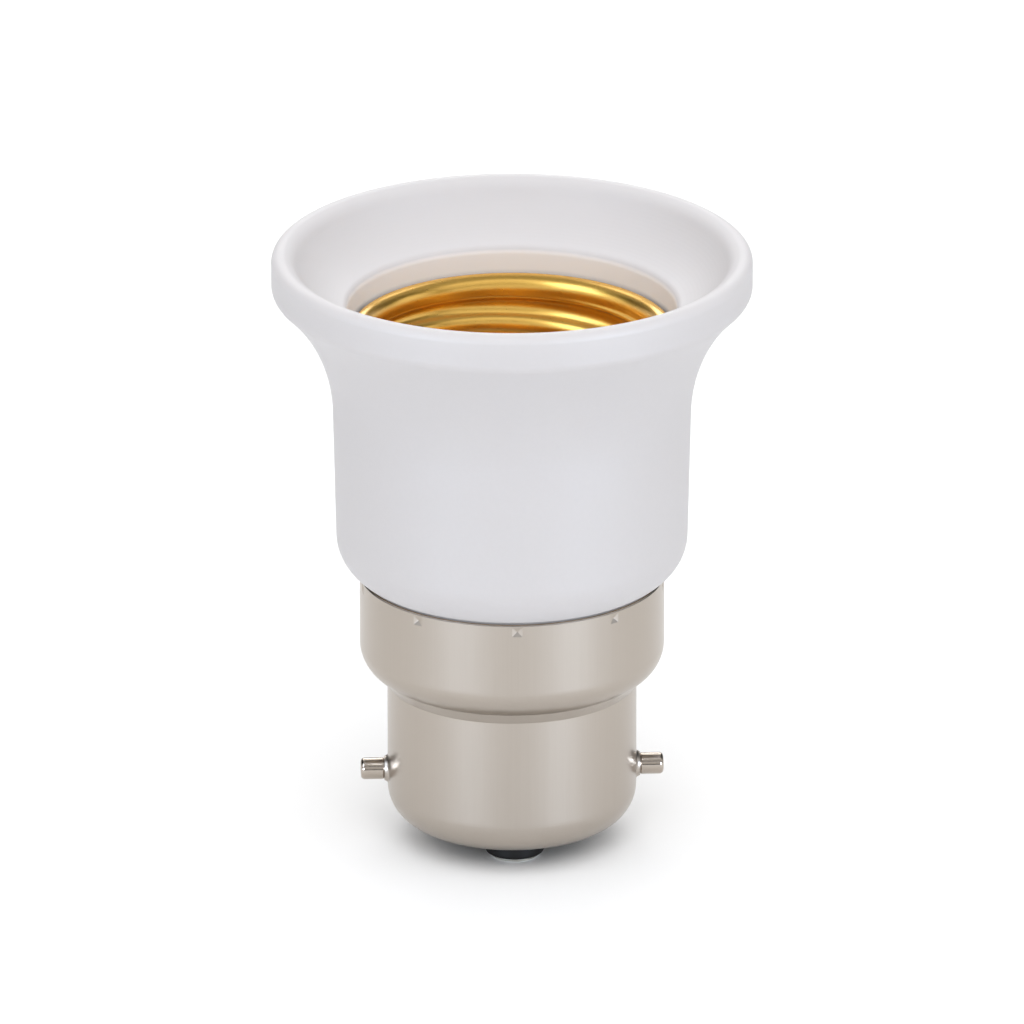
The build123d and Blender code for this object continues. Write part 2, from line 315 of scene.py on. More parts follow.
def spun(radius: np.ndarray, height: np.ndarray, angles: np.ndarray, ring: bool = False) -> Skin:
    """Carries an outline's (r, z) round the axis to (r cos a, r sin a, z) at every angle a.

    Args:
        radius: one row for each point, with one column or one for each angle.
        height: the same for the height.
        angles: where the columns stand, in radians.
        ring: whether the outline's end joins its start.

    Returns:
        The surface.
    """
    shape = np.broadcast_arrays(radius * np.cos(angles), radius * np.sin(angles), height)
    return Skin(np.stack(shape, -1), ring)


def lathe(outline: np.ndarray, columns: int) -> Skin:
    """Surface of revolution of an open outline, counter-clockwise round the material."""
    return spun(*supported(outline).T[:, :, None], turns(columns))


def placed(name: str, data: bpy.types.ID) -> bpy.types.Object:
    """Links a new object with a mesh, a light or a camera to the scene."""
    made = bpy.data.objects.new(name, data)
    bpy.context.scene.collection.objects.link(made)
    return made


def surface_object(name: str, skins: list[Skin]) -> bpy.types.Object:
    """Puts surfaces into one smooth mesh object at the origin, with poles and seams closed.

    Args:
        name: the object's name.
        skins: the surfaces.

    Returns:
        The object, linked to the scene.
    """
    first = np.cumsum([0] + [skin.points[..., 0].size for skin in skins])
    points = np.concatenate([skin.points.reshape(-1, 3) for skin in skins]) * MM
    faces = np.concatenate([skin.faces() + start for skin, start in zip(skins, first)])
    mesh = bpy.data.meshes.new(name)
    mesh.from_pydata(points.tolist(), [], faces.tolist())
    work = bmesh.new()
    work.from_mesh(mesh)
    bmesh.ops.remove_doubles(work, verts=work.verts, dist=WELD)
    work.to_mesh(mesh)
    work.free()
    mesh.set_sharp_from_angle(angle=SHARP)
    return placed(name, mesh)


@dataclass(frozen=True)
class Finish:
    """A material: its name, the record's slot that it dresses and its plain shader numbers.

    The grain is in millimetres, across and deep, and so is the depth that light scatters to. The detail is
    how many octaves the grain has.
    """

    name: str
    slot: str
    colour: str
    shade: str
    roughness: float
    roughness_spread: float
    grain: float
    grain_depth: float
    detail: float = 4.0
    metallic: float = 1.0
    specular: float = 0.5
    translucent: float = 0.0
    scatter: float = 1.5
    lacquer: float = 0.0
    lacquer_roughness: float = 0.2

    def material(self) -> bpy.types.Material:
        """Makes the material at the first call.

        Returns:
            The material, the same one at every call.
        """
        made = bpy.data.materials.get(self.name)
        if made:
            return made
        made = bpy.data.materials.new(self.name)
        made.use_nodes = True
        tree = made.node_tree
        tree.nodes.clear()
        place = add(tree, "ShaderNodeTexCoord").outputs["Object"]
        shader = add(tree, "ShaderNodeBsdfPrincipled", {
            "Metallic": self.metallic, "Specular IOR Level": self.specular,
            "Subsurface Weight": self.translucent, "Subsurface Radius": SCATTER_REACH,
            "Subsurface Scale": self.scatter * MM,
            "Coat Weight": self.lacquer, "Coat Roughness": self.lacquer_roughness})
        self.paint(tree, shader, place)
        add(tree, "ShaderNodeOutputMaterial", {"Surface": shader.outputs["BSDF"]})
        made.diffuse_color = linear(self.colour)
        return made

    def pattern(self, tree: Tree, place: Socket) -> Socket:
        """The finish's grain from 0 to 1: cloudy noise with features of the grain's size."""
        noise = add(tree, "ShaderNodeTexNoise", {
            "Vector": place, "Scale": per_mm(self.grain), "Detail": self.detail})
        return noise.outputs["Fac"]

    def tint(self, tree: Tree, place: Socket, grain: Socket) -> Socket:
        """Colour of the surface: from the shade to the plain colour along the grain."""
        colour = add(tree, "ShaderNodeMix", {
            "Factor": grain, MIX_FROM: linear(self.shade), MIX_TO: linear(self.colour)}, data_type="RGBA")
        return colour.outputs[MIX_RESULT]

    def paint(self, tree: Tree, shader: bpy.types.Node, place: Socket) -> None:
        """Links the grain to the shader's colour, roughness and normal.

        Args:
            tree: the material's nodes.
            shader: its shader.
            place: the point on the object, in metres.
        """
        grain = self.pattern(tree, place)
        rough = add(tree, "ShaderNodeMapRange", {
            "Value": grain, "To Min": self.roughness - self.roughness_spread,
            "To Max": self.roughness + self.roughness_spread})
        bump = add(tree, "ShaderNodeBump", {
            "Height": grain, "Strength": 1.0, "Distance": self.grain_depth * MM})
        tree.links.new(self.tint(tree, place, grain), shader.inputs["Base Color"])
        tree.links.new(rough.outputs["Result"], shader.inputs["Roughness"])
        tree.links.new(bump.outputs["Normal"], shader.inputs["Normal"])


@dataclass(frozen=True)
class DrawnSheet(Finish):
    """A metal sheet with faint lines the way it was drawn, coarser than the real ones so that they show."""

    detail: float = 3.0
    line_length: float = 12.0

    def stretch(self) -> tuple[float, float, float]:
        """Scale that draws noise out along Z, so that its features are lines up the wall."""
        return (1.0, 1.0, self.grain / self.line_length)

    def pattern(self, tree: Tree, place: Socket) -> Socket:
        """The finish's grain from 0 to 1: noise that is drawn out into lines."""
        lines = add(tree, "ShaderNodeMapping", {"Vector": place, "Scale": self.stretch()})
        return super().pattern(tree, lines.outputs["Vector"])


@dataclass(frozen=True)
class CutSheet(DrawnSheet):
    """A drawn and plated sheet whose cut edge, above a height in millimetres, shows the bare metal, painted
    dark with the shade of the gap above it.
    """

    edge_height: float = 24.95
    # Bare brass darkened with painted shade, for the shadow in the gap under the housing
    edge_bare_and_shade: str = "#8F7148"

    def tint(self, tree: Tree, place: Socket, grain: Socket) -> Socket:
        """Plated colour, and above the edge's height the bare metal's, darkened with painted shade.

        Args:
            tree: the material's nodes.
            place: the point on the object, in metres.
            grain: the grain from 0 to 1.

        Returns:
            The colour.
        """
        plated = super().tint(tree, place, grain)
        height = add(tree, "ShaderNodeSeparateXYZ", {"Vector": place}).outputs["Z"]
        bare = add(tree, "ShaderNodeMath", {0: height, 1: self.edge_height * MM}, operation="GREATER_THAN")
        colour = add(tree, "ShaderNodeMix", {
            "Factor": bare.outputs["Value"], MIX_FROM: plated, MIX_TO: linear(self.edge_bare_and_shade)},
            data_type="RGBA")
        return colour.outputs[MIX_RESULT]


@dataclass(frozen=True)
class RolledSheet(DrawnSheet):
    """A metal sheet spun between rollers, with faint lines round its axis, coarser than the real ones."""

    line_length: float = 5.0

    def stretch(self) -> tuple[float, float, float]:
        """Scale that draws noise out across Z, so that its features are lines round the wall."""
        thin = self.grain / self.line_length
        return (thin, thin, 1.0)


@dataclass(frozen=True)
class PaintedLightMouth(Finish):
    """A translucent moulding with a bell mouth, with painted light inside the mouth: its bore's wall and its
    bowl are painted paler, standing in for light that soaks through the wall.

    The mouth is where z - slope (r - bore) is above a height, with z and the radius r in millimetres.
    """

    bore: float = 14.44
    slope: float = 0.85
    mouth_low: float = 47.0
    mouth_high: float = 48.0
    rim: float = 20.4
    # Painted light: the bore's wall and the bowl are painted paler than the outside, as if lit through the
    # wall
    wall_painted_light: str = "#F1EEED"
    bowl_painted_light: str = "#CDCBCD"
    wall_share: float = 0.001
    bowl_share: float = 0.02

    def tint(self, tree: Tree, place: Socket, grain: Socket) -> Socket:
        """Plain colour outside, and inside the mouth a ramp of painted light over the radius, palest on the
        bore's wall.

        Args:
            tree: the material's nodes.
            place: the point on the object, in metres.
            grain: the grain from 0 to 1.

        Returns:
            The colour.
        """
        outside = super().tint(tree, place, grain)
        flat = add(tree, "ShaderNodeVectorMath", {0: place, 1: (1, 1, 0)}, operation="MULTIPLY")
        away = add(tree, "ShaderNodeVectorMath", {0: flat.outputs["Vector"]}, operation="LENGTH")
        radius = away.outputs["Value"]
        height = add(tree, "ShaderNodeSeparateXYZ", {"Vector": place}).outputs["Z"]
        across = add(tree, "ShaderNodeMapRange", {
            "Value": radius, "From Min": self.bore * MM, "From Max": self.rim * MM})
        ramp = add(tree, "ShaderNodeValToRGB", {"Fac": across.outputs["Result"]})
        ramp.color_ramp.elements[0].position = self.wall_share
        ramp.color_ramp.elements[0].color = linear(self.wall_painted_light)
        ramp.color_ramp.elements[1].color = linear(self.colour)
        ramp.color_ramp.elements.new(self.bowl_share).color = linear(self.bowl_painted_light)
        fall = add(tree, "ShaderNodeMath", {0: radius, 1: -self.slope, 2: self.bore * self.slope * MM},
                   operation="MULTIPLY_ADD")
        above = add(tree, "ShaderNodeMath", {0: height, 1: fall.outputs["Value"]}, operation="ADD")
        inside = add(tree, "ShaderNodeMapRange", {
            "Value": above.outputs["Value"],
            "From Min": self.mouth_low * MM, "From Max": self.mouth_high * MM})
        colour = add(tree, "ShaderNodeMix", {
            "Factor": inside.outputs["Result"], MIX_FROM: outside, MIX_TO: ramp.outputs["Color"]},
            data_type="RGBA")
        return colour.outputs[MIX_RESULT]


# Moulded white polyester: cool white, half gloss, faint mould grain, with painted light inside the mouth,
# paler where light soaks through the wall
WHITE_MOULDING = PaintedLightMouth(
    "white_polyester_moulded", "white_moulding", "#C8C6C8", "#C5C3C5", metallic=0.0, roughness=0.58,
    roughness_spread=0.03, grain=0.35, grain_depth=0.0015, translucent=0.35, scatter=1.0)
# Nickel-plated brass: warm grey satin metal with draw lines, and a line of bare brass at its edge, painted
# dark brown with shade
NICKEL_PLATE = CutSheet(
    "nickel_plate_satin", "nickel_plate", "#AFA69C", "#ABA298", roughness=0.29,
    roughness_spread=0.03, grain=0.12, grain_depth=0.0012)
# Nickel-plated pins are turned, so glossier than the drawn shell
PIN_PLATE = Finish(
    "nickel_plate_turned", "nickel_plate", "#B8AEA3", "#AEA398", roughness=0.16,
    roughness_spread=0.03, grain=0.15, grain_depth=0.0006)
# Gilt-coloured brass: bright yellow rolled sheet with lines round it, and pale glints from its lacquer
GILT_BRASS = RolledSheet(
    "gilt_brass_rolled", "gilt_brass", "#FDCB5E", "#F4BE50", roughness=0.3,
    roughness_spread=0.06, grain=0.11, grain_depth=0.0014, line_length=0.5, lacquer=1.0)
# Phenolic moulding: near black, half gloss, with a slightly cloudy surface
BLACK_PHENOLIC = Finish(
    "black_phenolic_moulded", "black_phenolic", "#1B1919", "#141313", metallic=0.0, roughness=0.45,
    roughness_spread=0.06, grain=0.3, grain_depth=0.003, specular=0.2)
# Spring bronze strip with a tin finish: pale warm metal with rolling marks
CONTACT_STRIP = RolledSheet(
    "spring_bronze_tinned", "contact_strip", "#CDBFA6", "#BFB096", roughness=0.28,
    roughness_spread=0.05, grain=0.12, grain_depth=0.0008)
# Tinned brass eyelets, rivets and tags: pale grey metal, slightly uneven
TINNED_BRASS = Finish(
    "tinned_brass_pressed", "tinned_brass", "#CFCBC2", "#BDB8AD", roughness=0.3,
    roughness_spread=0.06, grain=0.4, grain_depth=0.002)
# Solder: dull silver, cloudy where it froze
SOFT_SOLDER = Finish(
    "soft_solder_frozen", "soft_solder", "#C3C3C1", "#A9A9A7", roughness=0.36,
    roughness_spread=0.1, grain=0.5, grain_depth=0.006)
# Bare copper wire: red-brown metal with draw marks
COPPER_WIRE = DrawnSheet(
    "copper_wire_drawn", "copper_wire", "#D99A72", "#C98961", roughness=0.26,
    roughness_spread=0.05, grain=0.12, grain_depth=0.0008)
# Woven glass sleeve with varnish: off-white, matt and slightly uneven
WIRE_SLEEVE = Finish(
    "glass_sleeve_varnished", "wire_sleeve", "#E6DFCB", "#D2C9B2", metallic=0.0, roughness=0.6,
    roughness_spread=0.08, grain=0.25, grain_depth=0.01)


@dataclass
class SubAssembly:
    """Pieces that are made and finished together."""

    made: dict[str, bpy.types.Object] = field(default_factory=dict, init=False)

    def make(self, name: str, node: str, skins: list[Skin], body: Body = Body.ADAPTER) -> bpy.types.Object:
        """Makes a piece that stands for a CAD node, and hangs it on the adapter's body if that is its body.

        Args:
            name: the piece's name.
            node: the CAD node that it replaces.
            skins: its surfaces.
            body: its body; only the adapter's carries it.

        Returns:
            The piece.
        """
        piece = surface_object(name, skins)
        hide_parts(node)
        if body is Body.ADAPTER:
            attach(piece, body.value)
        self.made[name] = piece
        return piece

    def wear(self, finish: Finish, *names: str) -> None:
        """Gives pieces a finish.

        Args:
            finish: the finish.
            names: the pieces, or none for all of them.
        """
        for name in names or self.made:
            self.made[name].data.materials.append(finish.material())


@dataclass
class Housing(SubAssembly):
    """One white moulding: bell mouth, bore with its floor and pedestal, and the neck inside the collar."""

    rim_radius: float = from_high("housing", X)
    rim_top: float = from_high("housing", Z)
    neck_bottom: float = from_low("housing", Z)
    shell_bottom: float = from_low("threaded_shell", Z)
    pedestal_top: float = from_low("centre_contact", Z)
    neck_length: float = 6.0
    neck_radius: float = 13.05
    neck_bore_radius: float = 11.65
    seat_radius: float = 13.42
    foot_radius: float = 15.47
    foot_round: float = 4.0
    side_top_radius: float = 15.73
    flare_radius: float = 15.57
    under_lip_round: float = 1.12
    rim_band: float = 1.97
    rim_round: float = 0.84
    rim_top_slope: float = 29.0
    rim_top_flat: float = 0.2
    crease_round: float = 2.0
    bowl_top_slope: float = 58.0
    bowl_foot_slope: float = 27.0
    bore_edge_round: float = 0.9
    bore_radius: float = 14.44
    pedestal_radius: float = 7.5
    pedestal_round: float = 0.3
    columns: int = 288

    def outline(self) -> np.ndarray:
        """Draws the half section from the axis under the floor, round the outside and mouth, to the pedestal.

        Returns:
            Radius and height, one row each.
        """
        seat = self.neck_bottom + self.neck_length
        foot_sweep = math.acos(1 - (self.foot_radius - self.seat_radius) / self.foot_round)
        bends = self.under_lip_round + self.flare_radius
        flare_sweep = math.acos(1 - (self.rim_radius - self.side_top_radius) / bends)
        side_top = self.rim_top - self.rim_round - self.rim_band - bends * math.sin(flare_sweep)
        pen = Pen(0, seat, 0).to(self.neck_bore_radius, seat).to(self.neck_bore_radius, self.neck_bottom)
        pen.to(self.neck_radius, self.neck_bottom).to(self.neck_radius, seat).to(self.seat_radius, seat)
        pen.heading = math.pi / 2 - foot_sweep
        pen.bend(self.foot_round, math.degrees(foot_sweep)).to(self.side_top_radius, side_top)
        pen.heading = math.pi / 2
        pen.bend(self.flare_radius, -math.degrees(flare_sweep))
        pen.bend(self.under_lip_round, math.degrees(flare_sweep)).run(self.rim_band)
        pen.bend(self.rim_round, 90 + self.rim_top_slope).run(self.rim_top_flat)
        pen.bend(self.crease_round, self.bowl_top_slope - self.rim_top_slope)
        edge_reach = self.bore_edge_round * (1 - math.sin(math.radians(self.bowl_foot_slope)))
        rise = math.sin(math.radians(self.bowl_top_slope)) - math.sin(math.radians(self.bowl_foot_slope))
        bowl_radius = (pen.at[0] - edge_reach - self.bore_radius) / rise
        pen.bend(bowl_radius, self.bowl_foot_slope - self.bowl_top_slope)
        pen.bend(self.bore_edge_round, 90 - self.bowl_foot_slope)
        floor = rounded(
            (pen.at[0], pen.at[1], 0), (self.bore_radius, self.shell_bottom, self.pedestal_round),
            (self.pedestal_radius, self.shell_bottom, self.pedestal_round),
            (self.pedestal_radius, self.pedestal_top, self.pedestal_round), (0, self.pedestal_top, 0))
        return np.concatenate((pen.drawn(), floor[1:]))

    def build(self) -> None:
        """Turns the half section."""
        self.make("housing_moulding", "housing", [lathe(self.outline(), self.columns)])

    def dress(self) -> None:
        """White moulding all over."""
        self.wear(WHITE_MOULDING)


@dataclass
class ScrewShell(SubAssembly):
    """Gilt screw shell: in-turned foot, knuckle thread and flared lip in one thin sheet."""

    bottom: float = from_low("threaded_shell", Z)
    top: float = from_high("threaded_shell", Z)
    sheet: float = 0.3
    mean_radius: float = 12.8
    depth: float = 1.1
    pitch: float = 3.629
    thread_turns: int = 4
    start_angle: float = 113.0
    foot_height: float = 2.4
    run_out: float = 0.8
    foot_round: float = 1.2
    flange_hole: float = 7.9
    flange_rows: int = 4
    lip_radius: float = 1.3
    lip_sweep: float = 85.0
    row_step: float = 0.11
    columns: int = 200

    def knuckle(self, phase: np.ndarray) -> np.ndarray:
        """Thread wave from 1 at a root to -1 at a crest, as two equal arcs that meet in mid-height.

        An arc of radius q = (h^2 + w^2) / 2h rises h, half the depth, over w, a quarter of the pitch.

        Args:
            phase: turns of the thread, with roots at whole numbers.

        Returns:
            The wave at each phase.
        """
        half, reach = self.depth / 2, self.pitch / 4
        radius = (half ** 2 + reach ** 2) / (2 * half)
        off = np.abs(phase - np.round(phase)) * self.pitch
        near_root = off <= reach
        away = np.where(near_root, off, 2 * reach - off)
        fall = radius - np.sqrt(radius ** 2 - away ** 2)
        return np.where(near_root, 1 - fall / half, fall / half - 1)

    def wall(self, outline: np.ndarray, angles: np.ndarray) -> Skin:
        """Carries an outline round the axis and rolls the thread into it.

        The radius gains half the depth times the knuckle wave. The wave climbs one pitch a turn, and fades in
        and out over the run-outs at both ends.

        Args:
            outline: radius and height, one row each.
            angles: where the columns stand, in radians.

        Returns:
            The surface.
        """
        radius, height = outline.T[:, :, None]
        thread_bottom = self.bottom + self.foot_height + self.run_out
        thread_top = thread_bottom + self.thread_turns * self.pitch
        inside = np.minimum(height - thread_bottom, thread_top - height) / self.run_out + 1
        fade = np.clip(inside, 0, 1)
        fade = fade * fade * (3 - 2 * fade)
        turned = (angles - math.radians(self.start_angle)) / (2 * math.pi)
        phase = (height - thread_bottom) / self.pitch - turned
        rolled = radius + fade * self.depth / 2 * self.knuckle(phase)
        return spun(rolled, height, angles, ring=True)

    def outline(self) -> np.ndarray:
        """Draws the sheet's section before rolling, from the foot's hole out, up the back and down the face.

        Returns:
            Radius and height of a closed outline, one row each.
        """
        throat = self.top - self.lip_radius * math.sin(math.radians(self.lip_sweep))
        outer = self.mean_radius + self.sheet
        foot_in = self.bottom + self.sheet
        steps = math.ceil((throat - self.bottom - self.foot_round) / self.row_step)
        hole, rows = self.flange_hole, self.flange_rows
        back = Pen(hole, self.bottom, 0).to(outer - self.foot_round, self.bottom, rows)
        back.bend(self.foot_round, 90).to(outer, throat, steps)
        back.bend(self.lip_radius - self.sheet, -self.lip_sweep)
        face = Pen(hole, foot_in, 0).to(outer - self.foot_round, foot_in, rows)
        face.bend(self.foot_round - self.sheet, 90).to(self.mean_radius, throat, steps)
        face.bend(self.lip_radius, -self.lip_sweep)
        edge = (back.at + face.at) / 2
        away = face.ahead() * self.sheet / 2
        return np.concatenate((back.drawn(), [edge + away], face.drawn()[::-1]))

    def build(self) -> None:
        """Rolls the sheet."""
        self.make("screw_shell", "threaded_shell", [self.wall(self.outline(), turns(self.columns))])

    def dress(self) -> None:
        """Gilt brass all over."""
        self.wear(GILT_BRASS)


@dataclass
class BayonetCap(SubAssembly):
    """Drawn nickel cap of one sheet, barrel, shoulder and collar, with punch marks and two pins.

    The marks' zone, reach and clearance are shares of a mark's length, width and reach, and say where the
    rows and columns are fine. The boss's curve is the power of its trumpet shape.
    """

    bottom: float = from_low("cap_shell", Z)
    top: float = from_high("cap_shell", Z)
    collar_radius: float = from_high("cap_shell", X)
    pin_tip: float = from_high("bayonet_pin_right", X)
    pin_back: float = from_low("bayonet_pin_right", X)
    pin_head_low: float = from_low("bayonet_pin_right", Z)
    pin_head_high: float = from_high("bayonet_pin_right", Z)
    sheet: float = 0.3
    opening_radius: float = 7.6
    barrel_radius: float = 11.0
    barrel_corner: float = 3.35
    shoulder_round: float = 2.9
    shoulder_cone_drop: float = 0.8
    shoulder_cone_angle: float = 32.0
    shoulder_crease: float = 0.1
    collar_height: float = 9.38
    edge_round: float = 0.14
    crimp_count: int = 9
    crimp_first_angle: float = -91.0
    crimp_width: float = 0.95
    crimp_length: float = 0.9
    crimp_depth: float = 0.15
    crimp_drop: float = 0.2
    crimp_zone: float = 1.5
    crimp_reach: float = 0.625
    crimp_clearance: float = 1.05
    crimp_rows: int = 36
    crimp_columns: int = 21
    pin_radius: float = 0.96
    pin_shank_radius: float = 0.6
    pin_head_thickness: float = 0.6
    pin_head_round: float = 0.15
    pin_head_seat_round: float = 0.1
    pin_tip_round: float = 0.35
    pin_root_round: float = 0.2
    pin_columns: int = 64
    boss_height: float = 0.3
    boss_root_radius: float = 1.34
    boss_end_radius: float = 1.08
    boss_curve: float = 2.2
    boss_lip: float = 0.06
    boss_lip_rise: float = 0.03
    boss_rows: int = 25
    boss_columns: int = 72
    columns: int = 168

    def half_outline(self, inset: float, rows: int) -> np.ndarray:
        """One face of the sheet from the base opening to just under the collar's edge.

        A cone leads from the barrel out to the collar's round. From its foot p along the way d, it meets the
        round, with centre c and radius R, at the smaller root t of |p + t d - c| = R.

        Args:
            inset: how far the face lies inside the outer skin.
            rows: steps over the stretch that carries the punch marks.

        Returns:
            Radius and height, one row each, going up.
        """
        lean = math.radians(self.shoulder_cone_angle)
        shoulder = self.top - self.collar_height
        bulge, corner = self.shoulder_round - inset, self.barrel_corner - inset
        foot_height = shoulder - self.shoulder_cone_drop + inset * math.tan(lean / 2)
        foot = np.array((self.barrel_radius - inset, foot_height))
        centre = np.array((self.collar_radius - self.shoulder_round, shoulder + self.shoulder_round))
        way = np.array((math.sin(lean), math.cos(lean)))
        off = foot - centre
        reach = -off @ way - math.sqrt((off @ way) ** 2 - off @ off + bulge ** 2)
        arm = off + way * reach
        marked = self.top - self.crimp_drop - self.crimp_zone * self.crimp_length
        crease = self.shoulder_crease + inset
        wall = self.collar_radius - inset
        pen = Pen(self.opening_radius, self.bottom + inset, 0).to(foot[0] - corner, self.bottom + inset)
        pen.bend(corner, 90).to(foot[0], foot[1] - crease * math.tan(lean / 2))
        pen.bend(crease, -self.shoulder_cone_angle).to(*(centre + arm))
        pen.heading = math.atan2(arm[0], -arm[1])
        pen.bend(bulge, 90 - math.degrees(pen.heading))
        pen.to(wall, marked).to(wall, self.top - self.edge_round, rows)
        return pen.drawn()

    def crimp_angles(self) -> np.ndarray:
        """Where the punch marks stand round the collar, in radians."""
        return math.radians(self.crimp_first_angle) + turns(self.crimp_count)

    def to_crimp(self, angles: np.ndarray) -> np.ndarray:
        """Turn between each angle and the nearest punch mark, in radians and without sign."""
        off = (angles[:, None] - self.crimp_angles() + math.pi) % (2 * math.pi) - math.pi
        return np.abs(off).min(1)

    def columns_round(self) -> np.ndarray:
        """Places the columns, close together at every punch mark.

        Returns:
            The columns' angles in radians, in order.
        """
        reach = self.crimp_reach * self.crimp_width / self.collar_radius
        close = np.linspace(-reach, reach, self.crimp_columns)
        near = (self.crimp_angles()[:, None] + close).ravel() % (2 * math.pi)
        coarse = turns(self.columns)
        clear = self.to_crimp(coarse) > reach * self.crimp_clearance
        return np.sort(np.concatenate((coarse[clear], near)))

    def dent(self, angles: np.ndarray, height: np.ndarray) -> np.ndarray:
        """How deep the punch marks press the wall in.

        A mark is a four-sided pyramid on its point: one less the larger of the two shares of its half-width
        and half-length, so one at the middle and zero at the sides.

        Args:
            angles: columns' angles, in radians.
            height: rows' heights.

        Returns:
            Depth at each row and column.
        """
        across = self.to_crimp(angles) * self.collar_radius
        middle = self.top - self.crimp_drop - self.crimp_length / 2
        along = np.abs(height[:, None] - middle)
        share = 1 - 2 * np.maximum(across / self.crimp_width, along / self.crimp_length)
        return self.crimp_depth * np.clip(share, 0, 1)

    def shell(self) -> Skin:
        """Joins the sheet's two faces and edges, with the punch marks pressed in.

        Returns:
            One closed ring.
        """
        face = supported(self.half_outline(0, self.crimp_rows))
        back = supported(self.half_outline(self.sheet, self.crimp_rows))[::-1]
        middle = self.collar_radius - self.sheet / 2
        flat = self.sheet / 2 - self.edge_round
        edge = np.array(((middle + flat, self.top), (middle - flat, self.top)))
        outline = np.concatenate((face, edge, back))
        angles = self.columns_round()
        on_collar = outline[:, 0] > (self.barrel_radius + self.collar_radius) / 2
        depth = self.dent(angles, outline[:, 1]) * on_collar[:, None]
        return spun(outline[:, :1] - depth, outline[:, 1:], angles, ring=True)

    def pin_height(self) -> float:
        """Height of the pins' axis."""
        return (self.pin_head_low + self.pin_head_high) / 2

    def along_x(self, outline: np.ndarray, side: Side, count: int) -> Skin:
        """Turns an outline about the pins' axis.

        Args:
            outline: radius from that axis and reach along it, one row each.
            side: which way it points.
            count: how many columns it has.

        Returns:
            The surface.
        """
        turned = lathe(outline, count).points
        order = (Z, X, Y) if side is Side.HIGH else (Z, Y, X)
        sign = np.array((side.value, 1, 1))
        return Skin(turned[..., order] * sign + np.array((0, 0, self.pin_height())))

    def pin(self, side: Side) -> Skin:
        """One stepped pin with a rounded tip and its head riveted over inside.

        Args:
            side: which pin.

        Returns:
            The surface.
        """
        head = (self.pin_head_high - self.pin_head_low) / 2
        head_end = self.pin_back + self.pin_head_thickness
        seat = self.barrel_radius + self.boss_height
        outline = rounded(
            (0, self.pin_back, 0), (head, self.pin_back, self.pin_head_round),
            (head, head_end, self.pin_head_seat_round), (self.pin_shank_radius, head_end, 0),
            (self.pin_shank_radius, seat, 0), (self.pin_radius, seat, self.pin_root_round),
            (self.pin_radius, self.pin_tip, self.pin_tip_round), (0, self.pin_tip, 0))
        return self.along_x(outline, side, self.pin_columns)

    def boss(self, side: Side) -> Skin:
        """Trumpet that the sheet is drawn out into round one pin.

        At a distance d from the pin's axis the round barrel wall stands at sqrt(R^2 - y^2). The trumpet rises
        from it by its height times a power of 1 - t, where t runs from 0 at its end to 1 at its root.

        Args:
            side: which pin.

        Returns:
            A closed ring from inside the sheet, over the trumpet, to the pin's shank.
        """
        share = np.linspace(1, 0, self.boss_rows)
        flare = np.stack((self.boss_end_radius + (self.boss_root_radius - self.boss_end_radius) * share,
                          self.boss_height * (1 - share) ** self.boss_curve, share), 1)
        sunk = -self.sheet / 2
        lip = self.boss_height + self.boss_lip_rise
        inner = [(self.boss_end_radius - self.boss_lip, lip, 0), (self.pin_shank_radius, lip, 0),
                 (self.pin_shank_radius, sunk, 0)]
        rows = np.concatenate(([(self.boss_root_radius, sunk, 1)], flare, inner))
        around = turns(self.boss_columns)
        reach, rise, saddle = rows.T[:, :, None]
        across = reach * np.cos(around)
        wall = np.sqrt(self.barrel_radius ** 2 - across ** 2)
        out = wall * saddle + self.barrel_radius * (1 - saddle) + rise
        height = self.pin_height() + reach * np.sin(around)
        return Skin(np.stack((out * side.value, across * side.value, height), -1), ring=True)

    def build(self) -> None:
        """Draws the shell with its bosses and turns the pins."""
        self.make("cap_sheet", "cap_shell", [self.shell(), self.boss(Side.LOW), self.boss(Side.HIGH)])
        self.make("pin_left", "bayonet_pin_left", [self.pin(Side.LOW)])
        self.make("pin_right", "bayonet_pin_right", [self.pin(Side.HIGH)])

    def dress(self) -> None:
        """Satin nickel on the shell, brighter nickel on the pins."""
        self.wear(NICKEL_PLATE, "cap_sheet")
        self.wear(PIN_PLATE, "pin_left", "pin_right")


